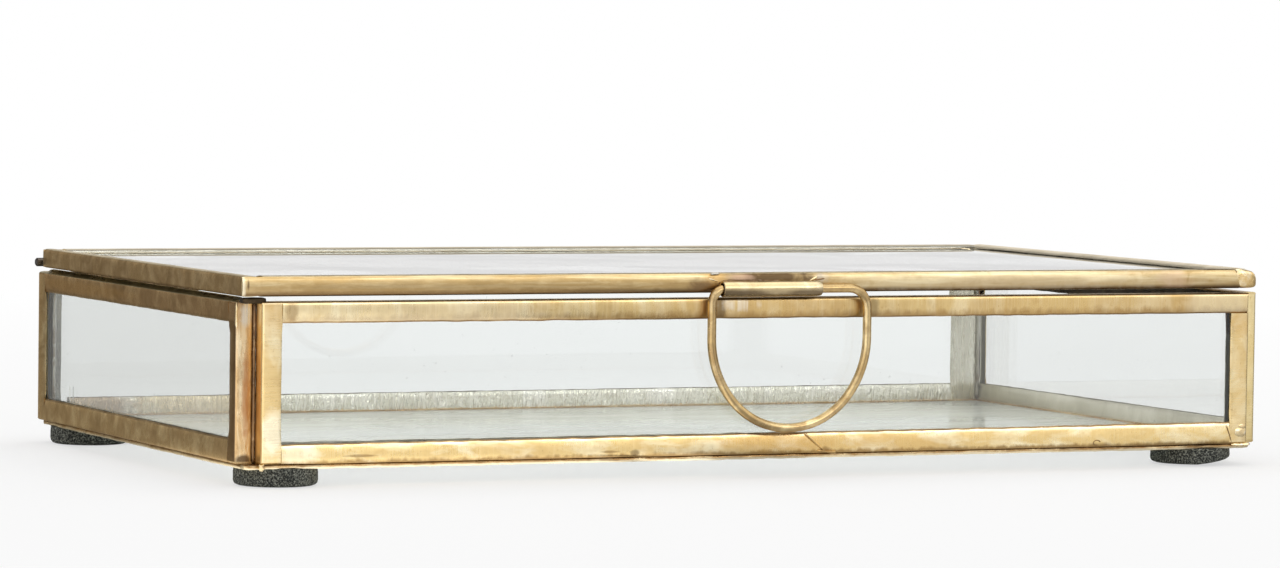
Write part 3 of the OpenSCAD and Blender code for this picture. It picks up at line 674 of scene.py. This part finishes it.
for wall, (along, out, room, top, low, stile_a, stile_b, web_a, web_b) in WALLS.items():
    names = ("left", "right") if along == X else ("front", "back")
    tuck = DEPTH - SHEET if wall == "front" else 0
    strips = [("rail_top", along, (Z, 1), top, TOP_WEB[wall], (DEPTH, SHEET if tuck else DEPTH)),
              ("rail_bottom", along, (Z, -1), low, low, (DEPTH, DEPTH)),
              (f"stile_{names[0]}", Z, (along, -1), stile_a, web_a, (0, 0)),
              (f"stile_{names[1]}", Z, (along, 1), stile_b, web_b, (0, tuck))]
    for name, run, deep, face, web, cuts in strips:
        node = f"{wall}_{name}"
        stile = run == Z
        # The right top rail's room side wears the near-black of hollows: painted shade under the
        # lid.
        inside = {"back_stile_left": ROOM_DARK, "left_stile_back": ROOM_DARK,
                  "back_stile_right": ROOM_POST, "right_rail_top": BORE}.get(node, room)
        came(node, "case", run, out, deep, [face, inside, web, face if stile else LIP], cuts, seed,
             calm=stile, **SHAPES.get(node, {}))
        seed += 1.3
for side, (run, deep, *_) in WALLS.items():
    web = {"front": LID_FRONT_M, "left": LID_SIDE}.get(side, BACK)
    cuts = {"front": (DEPTH, 0), "back": (DEPTH, DEPTH)}.get(side, (0, 0))
    top = LID_FAR if side in ("back", "right") else LID_TOP
    came(f"lid_rail_{side}", "lid", run, (Z, 1), deep, [top, top, web, top], cuts, 31 + seed,
         **LID_SHAPES.get(side, {"fold": 0.8, "bulge": 0.06}))
    seed += 1.3


# ---------------------------------------------------------------- solder and seams
def upright(bm, x, y, foot, head, r, lumps, seed, paint=0):
    """A bead up a corner, from foot above the walls' foot to head below their top. In mm but
    for x and y."""
    bead(bm, Vector((x, y, WALL_Z + foot * MM)), Vector((x, y, WALL_TOP - head * MM)), r * MM,
         lumps, seed, paint)


# brown seam under the walls, up against the bottom pane's edging
bm = bmesh.new()
low, high = WALL_Z - 1.15 * MM, WALL_Z + 0.1 * MM
outs, ins = 1.1 * MM, 0.15 * MM
front = (FRONT_Y + outs, FRONT_Y + CAME + ins)
back = (BACK_Y - CAME - ins, BACK_Y - outs)
left = (LEFT_X + outs, LEFT_X + CAME + ins)
right = (RIGHT_X - CAME - ins, RIGHT_X - outs)
for k, ys in enumerate((front, back)):
    bar(bm, Vector((left[0], ys[0], low)), Vector((right[1] - 2.2 * MM, ys[1], high)), X, 0.15,
        k + 1.0)
for k, xs in enumerate((left, right)):
    bar(bm, Vector((xs[0], front[1] - 0.5 * MM, low)), Vector((xs[1], back[0] + 0.5 * MM, high)),
        Y, 0.12, k + 5.0)
make("base_seam", bm, [SEAM], "case", ["base_solder"], 60)

# the front corners: a bead in the open notch, one in the room, and spilt solder
SIDES = (("left", INSIDE_L, 1), ("right", INSIDE_R, -1))
for side, x, way in SIDES:
    bm = bmesh.new()
    # The bead in the open notch is in dark brown solder, partly painted shade of its deep corner.
    upright(bm, x - way * 0.3 * MM, INSIDE_Y - 0.3 * MM, 0.2, 0.1, 0.32, 0.2, 2.0)
    upright(bm, x + way * 0.25 * MM, INSIDE_Y + 0.25 * MM, 1.5, 0.2, 0.5, 0.4, 3.0, 1)
    if side == "left":
        # A near-black lump fills the gap under the lid at the notch's top: partly solder, partly
        # painted shade of the gap.
        bar(bm, mm(-124.7, -66.9, 39.3), mm(-119.5, -64.0, 40.58), X, 0.14, 3.0, 3, 0.6 * MM)
        blob(bm, mm(-120.3, -66.9, 4.5), Vector((0.7, 0.6, 0.9)) * MM, 0.3, 4.0, 2)
        bead(bm, mm(-124.9, -63.3, 33.9), mm(-124.9, -63.3, 39.4), 0.3 * MM, 0.2, 5.0, 2)
    else:
        blob(bm, mm(118.7, -67.55, 7.7), Vector((1.5, 0.22, 1.1)) * MM, 0.25, 4.0, 2)
        blob(bm, mm(119.2, -67.55, 9.0), Vector((1.0, 0.18, 0.6)) * MM, 0.25, 7.0, 2)
        bead(bm, mm(115.1, -67.5, 9.4), mm(116.5, -67.5, 5.4), 0.13 * MM, 0.4, 6.0, 0)
        bar(bm, mm(116.8, -67.4, 4.5), mm(121.6, -64.0, 5.4), X, 0.25, 8.0, 2, 0.6 * MM)
    make(f"front_corner_solder_{side}", bm, [BROWN_SOLDER, GREY_SOLDER, BRIGHT_SOLDER, BORE],
         "case", [f"corner_solder_front_{side}"], 60)
# the back corners, with a bead in the room only
for side, x, way in SIDES:
    bm = bmesh.new()
    upright(bm, x + way * 0.25 * MM, BACK_Y - CAME - 0.25 * MM, 1.5, 0.2, 0.5, 0.4, 8.0)
    make(f"back_corner_solder_{side}", bm, [GREY_SOLDER], "case",
         [f"corner_solder_back_{side}"], 60)

# folds and laps in the front wall's lower rail
bm = bmesh.new()
bead(bm, mm(7.6, -67.5, 9.5), mm(12.6, -67.5, 5.4), 0.3 * MM, 0.3, 1.0, 0, 0.4 * MM)
bead(bm, mm(10.6, -67.5, 5.5), mm(15.4, -67.5, 5.2), 0.3 * MM, 0.6, 2.0, 0, 0.4 * MM)
curl = [mm(81.3 + 0.9 * math.cos(a), -67.52, 5.95 + 0.6 * math.sin(a))
        for a in (math.radians(20 + 26 * k) for k in range(11))]
rod(bm, curl, 0.13 * MM, ALONG_Y, 8, paint=1)
make("front_rail_laps", bm, [FRONT_LOW, LIP], "case", (), 60)

# hinge seams
LID_KNUCKLES = ["lid_knuckle_left", "lid_knuckle_right"]
lo, hi = fbox("case_knuckle_saddle")
bm = bmesh.new()
bar(bm, lo - mm(0, 0.1, 0), hi + mm(0, 0.1, -0.1), X, 0.2, 3.0)
make("hinge_saddle", bm, [GREY_SOLDER], "case", ["case_knuckle_saddle"], 60)
lo, hi = fbox("lid_knuckle_solder")
bm = bmesh.new()
for name in LID_KNUCKLES:
    k_lo, k_hi = fbox(name)
    mid = (k_lo.z + k_hi.z) / 2
    for low, high, lumps, shift in ((lo.z, mid, 0.3, 0), (mid, hi.z, 0.4, 3)):
        bar(bm, Vector((k_lo.x, lo.y - 0.15 * MM, low)), Vector((k_hi.x, lo.y + 0.75 * MM, high)),
            X, lumps, k_lo.x * 40 + shift)
make("lid_hinge_seam", bm, [GREY_SOLDER], "lid", ["lid_knuckle_solder"], 60)

# the seam behind the handle's tube, below and above its axis
bm = bmesh.new()
lo, hi = fbox("handle_tube_solder")
for low, high, lumps, shape in ((lo.z, AXIS_Z, 0.2, 2.0), (AXIS_Z, hi.z, 0.5, 4.0)):
    bar(bm, Vector((lo.x, lo.y, low)), Vector((hi.x, hi.y + 0.1 * MM, high)), X, lumps, shape)
# it ends within the tube's wall, so the wire turns free of it
WITHIN_WALL = 1.55 * MM
for v in bm.verts:
    off = Vector((0, v.co.y - AXIS_Y, v.co.z - AXIS_Z))
    if off.length < WITHIN_WALL:
        v.co += off * (WITHIN_WALL / off.length - 1)
# spilt beads: x and z at the start and at the end, radius and material; z and radius in mm
SPILT = (
    (TUBE_HI.x - 1.8 * MM, 43.3, TUBE_HI.x + 0.1 * MM, 44.2, 0.26, 1),
    (TUBE_HI.x - 0.6 * MM, 43.5, TUBE_HI.x + 1.9 * MM, 43.8, 0.2, 0),
    (TUBE_LO.x - 2.4 * MM, 44.0, TUBE_LO.x - 0.2 * MM, 43.3, 0.18, 1),
    (TUBE_LO.x - 2.0 * MM, 45.0, TUBE_LO.x + 0.2 * MM, 45.05, 0.3, 2),
    (TUBE_LO.x + 2.0 * MM, 43.5, TUBE_HI.x - 9.0 * MM, 43.4, 0.24, 0))
y = LID_FRONT - 0.02 * MM
for k, (x_a, z_a, x_b, z_b, r, kind) in enumerate(SPILT):
    bead(bm, Vector((x_a, y, z_a * MM)), Vector((x_b, y, z_b * MM)), r * MM, 0.5, k + 1.0, kind,
         0.35 * MM)
make("handle_tube_seam", bm, [BROWN_SOLDER, BRIGHT_SOLDER, GREY_SOLDER], "lid",
     ["handle_tube_solder"], 60)


# ---------------------------------------------------------------- tube, wire, cap, feet
def tube():
    """Short tube rolled from sheet: rounded rims, a little narrower to the right."""
    ro, ri, long = (TUBE_HI.y - TUBE_LO.y) / 2, 1.3 * MM, TUBE_HI.x - TUBE_LO.x
    steps, sides = 16, 28
    # place along the tube, radius, and whether it is inside
    stations = [(0.0, ro - 0.22 * MM, 0), (0.12 * MM, ro - 0.04 * MM, 0)]
    for k in range(1, steps):
        stations.append((long * k / steps, ro * (1 - 0.03 * k / steps), 0))
    stations += [(long - 0.3 * MM, ro * 0.95, 0), (long, ro * 0.9, 1)]
    stations += [(long - 0.1 * MM, ri, 1), (long * 0.5, ri, 1), (0.1 * MM, ri, 1)]
    rings = []
    for s, r, inside in stations:
        ring = []
        for k in range(sides):
            a = math.tau * k / sides
            out = Vector((0, math.cos(a), math.sin(a)))
            p = Vector((TUBE_LO.x + s, AXIS_Y, AXIS_Z)) + out * r
            ring.append(p + out * (0 if inside else 0.05 * MM * lump(p, 5 * MM, 3)))
        rings.append(ring)
    bm = bmesh.new()
    mouth = len(stations) - 1
    skin(bm, rings, True, lambda i, k: 1 if mouth > i >= mouth - 3 else 0)
    return make("tube_body", bm, [TUBE, BORE], "lid", ["handle_tube"])


def ring_path():
    """The handle's wire round its loop, from the frame's box and the bends' radii, in mm."""
    step, wire = 0.9, 1
    lo, hi = fbox("handle_ring")
    R = (hi.x - lo.x) / 2 / MM - wire
    drop = (hi.z - lo.z) / MM - 2 * wire
    # the bends' radii: right and left shoulder, bow's bottom, and flanks
    right, left, bow, flank = 4.4, 3, R - 0.5, R + 2
    bow_z = bow - drop
    flank_z = bow_z + 1.5
    turn = math.degrees(math.acos(0.8))
    # from the right shoulder down: each bend's centre, radius, and first and last angle
    bends = [(R - right, -right, right, 90, 0), (R - flank, flank_z, flank, 0, -turn),
             (0, bow_z, bow, -turn, turn - 180), (flank - R, flank_z, flank, turn - 180, -180),
             (left - R, -left, left, -180, -270)]
    pts = []
    for x, z, r, a, b in bends:
        n = max(6, int(abs(b - a) / 180 * math.pi * r / step))
        for k in range(n + 1):
            t = math.radians(a + (b - a) * k / n)
            p = (x + r * math.cos(t), z + r * math.sin(t))
            if pts and math.dist(pts[-1], p) < 0.05:
                continue
            if pts and math.dist(pts[-1], p) > 2 * step:
                q, m = pts[-1], int(math.dist(pts[-1], p) / step)
                pts += [(q[0] + (p[0] - q[0]) * j / m, q[1] + (p[1] - q[1]) * j / m)
                        for j in range(1, m)]
            pts.append(p)
    q, p = pts[-1], pts[0]
    m = int(math.dist(q, p) / step)
    pts += [(q[0] + (p[0] - q[0]) * j / m, q[1]) for j in range(1, m)]
    mid_x, top = (lo.x + hi.x) / 2, hi.z - wire * MM
    return [Vector((mid_x + x * MM, (lo.y + hi.y) / 2, top + z * MM)) for x, z in pts]


tube()
bm = bmesh.new()
rod(bm, ring_path(), 0.99 * MM, ALONG_Y, 20, True, 0.02, 6 * MM, 2.0)
make("handle_wire", bm, [WIRE], "handle", ["handle_ring"])


def cap():
    """The lid's right front corner: a folded and soldered lump that laps the front rail's end
    along a slanted crack, and is rounded off at its end."""
    lo, hi = fbox("lid_corner_cap")
    size = hi - lo
    # share of the length, then how far the top and the bottom come in, and the front
    shape = [(0.0, 0.25, 0.1, 0.25), (0.06, 0.02, 0.02, 0.02), (0.2, -0.12, 0.0, -0.1),
             (0.4, 0.02, 0.0, -0.12), (0.6, 0.14, 0.0, -0.06), (0.78, 0.5, 0.05, 0.02),
             (0.9, 1.0, 0.15, 0.2), (0.97, 1.6, 0.35, 0.6), (1.0, 2.0, 0.8, 1.0)]
    sides, square = 24, 0.42
    rings = []
    for share, top, under, nose in shape:
        y0, y1 = lo.y + nose * MM, hi.y - 0.05 * MM
        z0, z1 = lo.z + under * MM, hi.z - top * MM
        ring = []
        for k in range(sides):
            a = math.tau * (k + 0.5) / sides
            c, d = math.cos(a), math.sin(a)
            p = Vector((lo.x + (size.x + 0.4 * MM) * share,
                        (y0 + y1) / 2 + (y1 - y0) / 2 * squared(c, square),
                        (z0 + z1) / 2 + (z1 - z0) / 2 * squared(d, square)))
            deep = (hi.z - p.z) / size.z
            p.x += (CAP_SKEW * deep + 0.35 * math.sin(deep * 14)) * MM * max(0, 1 - share * 2.2)
            bump = 0.1 * MM * lump(p, 1.1 * MM, 2) * (1 if share < 1 else 0)
            p.y -= abs(bump) if c < 0 else 0
            p.z += bump * (1 if d > 0 else 0.3)
            ring.append(p)
        rings.append(ring)
    bm = bmesh.new()
    skin(bm, rings)
    make("lid_cap", bm, [CAP_M], "lid", ["lid_corner_cap"], 60)


cap()


def foot(name, rise, seed):
    """A round foam pad, worn at its rim. rise lifts its underside towards the right, in mm."""
    lo, hi = fbox(name)
    mid, r, h = (lo + hi) / 2, (hi.x - lo.x) / 2, hi.z - lo.z
    sides = 64
    # shares of the radius and of the height
    profile = [(0.4, 0), (0.75, 0), (0.88, 0.01), (0.945, 0.06), (0.98, 0.15), (1, 0.32),
               (1, 0.7), (0.99, 1), (0.6, 1), (0.3, 1)]
    rings = []
    for share, up in profile:
        ring = []
        for k in range(sides):
            a = math.tau * k / sides
            out = Vector((math.cos(a), math.sin(a), 0))
            p = Vector((mid.x, mid.y, lo.z)) + out * r * share
            lift = rise * MM * (0.2 + max(0.0, min(1.0, (out.x * share + 0.25) / 1.2))) * (1 - up)
            p.z += h * up + lift
            if 0 < up < 1:
                p += out * 0.12 * MM * lump(p, 1.3 * MM, seed)
            ring.append(p)
        rings.append(ring)
    bm = bmesh.new()
    skin(bm, rings)
    obj = make(name + "_foam", bm, [FOAM], "case", [name], 50)


RISE = {"foot_front_left": 0.0, "foot_front_right": 1.25, "foot_back_left": 0.0,
        "foot_back_right": 0.0}
for seed, (name, rise) in enumerate(RISE.items(), 1):
    foot(name, rise, seed)


# ---------------------------------------------------------------- carried-over nodes
CARRIED = (
    (CLEAR, ["front_glass", "back_glass"]), (RIGHT_CLEAR, ["right_glass"]),
    (SIDE_CLEAR, ["left_glass"]), (LID_CLEAR, ["lid_glass"]), (BASE_CLEAR, ["base_glass"]),
    (EDGING, [f"base_edging_{side}" for side in WALLS]), (TUBE, LID_KNUCKLES + ["case_knuckle"]),
    (DARK_WIRE, ["hinge_pin"]))
for mat, nodes in CARRIED:
    for node in nodes:
        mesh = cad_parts[node].data
        mesh.materials.clear()
        mesh.materials.append(mat)


# ---------------------------------------------------------------- studio
# what metal and glass see round the object: degrees to the left of the front, and the level there
AROUND = [(-180, 0.92), (-134, 0.92), (-118, 0.32), (-64, 0.36), (-46, 0.98), (-13, 0.98),
          (-7, 0.55), (7, 0.55), (15, 1.7), (22, 1.7), (23.5, 0.7), (27, 0.7), (28.5, 1.7),
          (60, 1.7), (78, 0.8), (104, 0.34), (160, 0.3), (171, 0.92), (180, 0.92)]
# and overhead, from the back to the front
OVER = [(0.0, 0.3), (0.42, 0.42), (0.52, 1.0), (0.66, 1.6), (1.0, 1.5)]


def studio_level(g, direction):
    """How bright the studio is towards a direction, for mirror-like surfaces."""
    def levels(value, stops):
        made = g.add("ValToRGB", {0: value})
        points = made.color_ramp.elements
        for place, level in stops[1:-1]:
            points.new(place).color = (level, level, level, 1)
        for point, (place, level) in zip((points[0], points[-1]), (stops[0], stops[-1])):
            point.position, point.color = place, (level, level, level, 1)
        return made.outputs[0]

    unit = g.add("VectorMath", {0: direction}, operation="NORMALIZE").outputs["Vector"]
    part = g.add("SeparateXYZ", {0: unit})
    left = g.math("MULTIPLY", part.outputs[X], -1.0)
    front = g.math("MULTIPLY", part.outputs[Y], -1.0)
    turn = g.math("MULTIPLY_ADD", g.math("ARCTAN2", left, front), 1 / math.tau, 0.5)
    low = levels(turn, [(angle / 360 + 0.5, level) for angle, level in AROUND])
    high = levels(g.math("MULTIPLY_ADD", front, 0.5, 0.5), OVER)
    return g.mix(g.ramp(part.outputs[Z], 0.12, 0.42), low, high)


def rays(g):
    """Masks of the rays that come from camera or glass, and of those that come from metal."""
    path = g.add("LightPath").outputs
    return (g.math("MAXIMUM", path["Is Camera Ray"], path["Is Transmission Ray"]),
            path["Is Glossy Ray"])


def floor_material():
    """Matt white. Camera and glass see it part lit and part glowing, so it stays white far from
    the lamps and still keeps the object's shadow. Metal sees the studio's levels in it."""
    g = graph("floor_white")
    seen, mirrors = rays(g)
    grain = g.noise(3, 2, 0.5)
    matt = g.add("BsdfDiffuse", {"Color": g.mix(grain, (0.9, 0.9, 0.9), (0.92, 0.92, 0.92))})
    far = g.add("VectorMath", {0: g.place()}, operation="LENGTH").outputs["Value"]
    glow, mirror_glow = (g.add("Emission", {"Color": (1, 1, 1), "Strength": level})
                         for level in (1.0, studio_level(g, g.coord)))
    white = g.either(g.ramp(far, 0.25, 0.7, 0.6, 1.0), matt, glow)
    in_metal = g.either(mirrors, matt, g.either(0.85, matt, mirror_glow))
    return g.finish(g.either(seen, in_metal, white))


bm = bmesh.new()
bmesh.ops.create_grid(bm, x_segments=2, y_segments=2, size=30)
floor = linked("floor", meshed("floor", bm, [floor_material()]))
floor.location.z = -0.1 * MM


def studio():
    """White to camera and glass, the studio's levels to metal, and an even light to the rest."""
    world = bpy.data.worlds.new("studio")
    g = Graph(world, "OutputWorld")
    seen, mirrors = rays(g)
    direction = g.add("TexCoord").outputs["Generated"]
    white, plain, mirrored = (g.add("Background", {"Color": (1, 1, 1), "Strength": level})
                              for level in (1.0, 0.66, studio_level(g, direction)))
    return g.finish(g.either(seen, g.either(mirrors, plain, mirrored), white))


bpy.context.scene.world = studio()


def lamp(name, place, size, level):
    """A lamp aimed at the origin. Its power grows with its area."""
    light = bpy.data.lights.new(name, "AREA")
    light.shape = "RECTANGLE"
    light.size, light.size_y = size
    light.energy = level * math.pi * size[0] * size[1]
    obj = linked(name, light)
    obj.location = place
    obj.rotation_euler = (-Vector(place)).to_track_quat("-Z", "Y").to_euler()


lamp("lamp_top", (0.1, 0.2, 1.2), (1.3, 1.1), 1.25)
lamp("lamp_front", (0.5, -1.5, 0.75), (0.9, 0.6), 1.5)
lamp("lamp_right", (1.4, 0.1, 0.5), (0.6, 0.8), 0.9)


# ---------------------------------------------------------------- camera
# turns about Z, X and Y, in radians
YAW, PITCH, ROLL = -0.42390494, -0.04780231, -0.01355830
# from the walls' lower left front corner, in mm
EYE = (-407.8024, -1107.5794, 96.0187)
# the focal length and the picture's width in pixels, and the sensor's width in mm
FOCAL, WIDTH, SENSOR = 5575.1888, 1280, 36.0


def camera():
    data = bpy.data.cameras.new("camera")
    obj = linked("camera", data)
    turn = (Matrix.Rotation(YAW, 3, "Z") @ Matrix.Rotation(PITCH, 3, "X")
            @ Matrix.Rotation(ROLL, 3, "Y"))
    right, ahead, up = turn.col
    eye = mm(*EYE)
    eye += Vector((LEFT_X, FRONT_Y, WALL_Z))
    facing = Matrix((right, up, -ahead)).transposed().to_4x4()
    obj.matrix_world = Matrix.Translation(eye) @ facing
    data.sensor_fit = "HORIZONTAL"
    data.sensor_width = SENSOR
    data.lens = FOCAL / WIDTH * SENSOR
    data.clip_start, data.clip_end = 0.01, 200
    bpy.context.scene.camera = obj


camera()
bpy.context.scene.view_settings.view_transform = "Standard"
bpy.context.view_layer.update()
